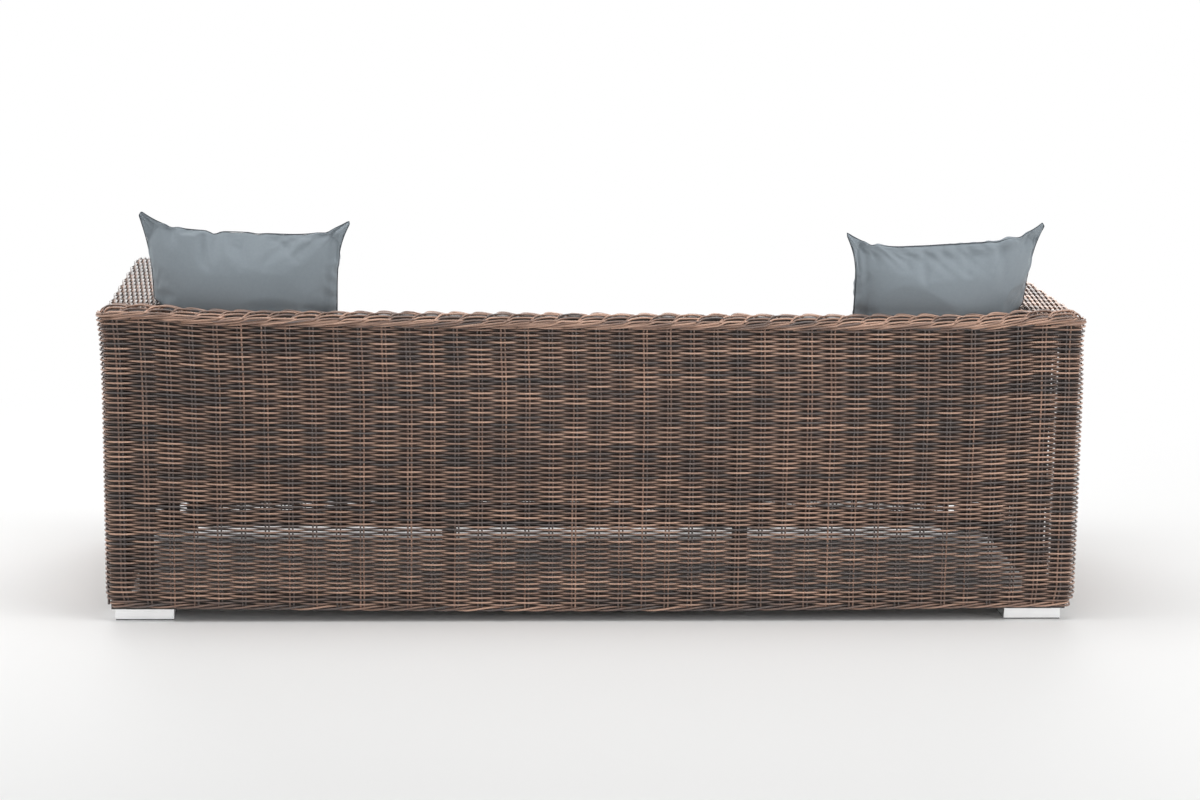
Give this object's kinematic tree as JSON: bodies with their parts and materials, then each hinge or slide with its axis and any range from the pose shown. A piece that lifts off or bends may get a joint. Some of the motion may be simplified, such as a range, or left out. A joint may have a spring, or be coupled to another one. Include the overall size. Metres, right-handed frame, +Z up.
{
  "type": "rattan garden sofa",
  "caption": "Rattan garden sofa with woven skins over a metal tube frame, low block feet, loose seat cushions and throw pillows.",
  "frame": {"origin": "on the floor, under the middle of the sofa's outline", "axes": "+X towards the sitter's left, +Y towards the back, +Z up; the seat faces -Y"},
  "size_m": [2.1, 0.82, 0.8697],
  "materials": {
    "frame_aluminium": "satin mill finish",
    "foot_aluminium": "brushed satin",
    "rattan": "mottled brown and grey-brown strands",
    "glide_plastic": "matt",
    "cushion_fabric": "plain woven grey-blue",
    "pillow_fabric": "plain woven grey-blue"
  },
  "bodies": {
    "frame": {"front_bottom_rail": "frame_aluminium", "rear_bottom_rail": "frame_aluminium", "left_bottom_rail": "frame_aluminium", "right_bottom_rail": "frame_aluminium", "front_left_corner_post": "frame_aluminium", "front_right_corner_post": "frame_aluminium", "rear_left_corner_post": "frame_aluminium", "rear_right_corner_post": "frame_aluminium", "rear_top_rail": "frame_aluminium", "rear_left_inner_post": "frame_aluminium", "rear_right_inner_post": "frame_aluminium", "rear_left_middle_post": "frame_aluminium", "rear_right_middle_post": "frame_aluminium", "left_arm_outer_top_rail": "frame_aluminium", "left_arm_inner_top_rail": "frame_aluminium", "left_arm_front_link": "frame_aluminium", "front_left_inner_post": "frame_aluminium", "left_arm_middle_post": "frame_aluminium", "right_arm_outer_top_rail": "frame_aluminium", "right_arm_inner_top_rail": "frame_aluminium", "right_arm_front_link": "frame_aluminium", "front_right_inner_post": "frame_aluminium", "right_arm_middle_post": "frame_aluminium", "seat_front_rail": "frame_aluminium", "seat_rear_rail": "frame_aluminium", "seat_left_rail": "frame_aluminium", "seat_right_rail": "frame_aluminium", "seat_left_cross_bar": "frame_aluminium", "seat_middle_cross_bar": "frame_aluminium", "seat_right_cross_bar": "frame_aluminium", "front_left_skirt_post": "frame_aluminium", "front_right_skirt_post": "frame_aluminium", "back_outer_weave": "rattan", "back_top_border": "rattan", "back_inner_weave": "rattan", "seat_deck_weave": "rattan", "front_skirt_weave": "rattan", "left_arm_outer_weave": "rattan", "left_arm_inner_weave": "rattan", "left_arm_front_weave": "rattan", "left_arm_top_weave": "rattan", "right_arm_outer_weave": "rattan", "right_arm_inner_weave": "rattan", "right_arm_front_weave": "rattan", "right_arm_top_weave": "rattan", "front_left_foot": "foot_aluminium", "front_right_foot": "foot_aluminium", "rear_left_foot": "foot_aluminium", "rear_right_foot": "foot_aluminium", "front_left_glide": "glide_plastic", "front_right_glide": "glide_plastic", "rear_left_glide": "glide_plastic", "rear_right_glide": "glide_plastic"},
    "left_cushion": {"left_seat_cushion": "cushion_fabric"},
    "middle_cushion": {"middle_seat_cushion": "cushion_fabric"},
    "right_cushion": {"right_seat_cushion": "cushion_fabric"},
    "left_pillow": {"left_throw_pillow": "pillow_fabric"},
    "right_pillow": {"right_throw_pillow": "pillow_fabric"}
  },
  "joints": [
    {"name": "left_cushion_lift", "type": "slide", "parent": "frame", "child": "left_cushion", "axis": [0, 0, 1], "range_m": [0, 0.42]},
    {"name": "middle_cushion_lift", "type": "slide", "parent": "frame", "child": "middle_cushion", "axis": [0, 0, 1], "range_m": [0, 0.42]},
    {"name": "right_cushion_lift", "type": "slide", "parent": "frame", "child": "right_cushion", "axis": [0, 0, 1], "range_m": [0, 0.42]},
    {"name": "left_pillow_lift", "type": "slide", "parent": "left_cushion", "child": "left_pillow", "axis": [0, 0, 1], "range_m": [0, 0.3]},
    {"name": "right_pillow_lift", "type": "slide", "parent": "right_cushion", "child": "right_pillow", "axis": [0, 0, 1], "range_m": [0, 0.3]}
  ]
}
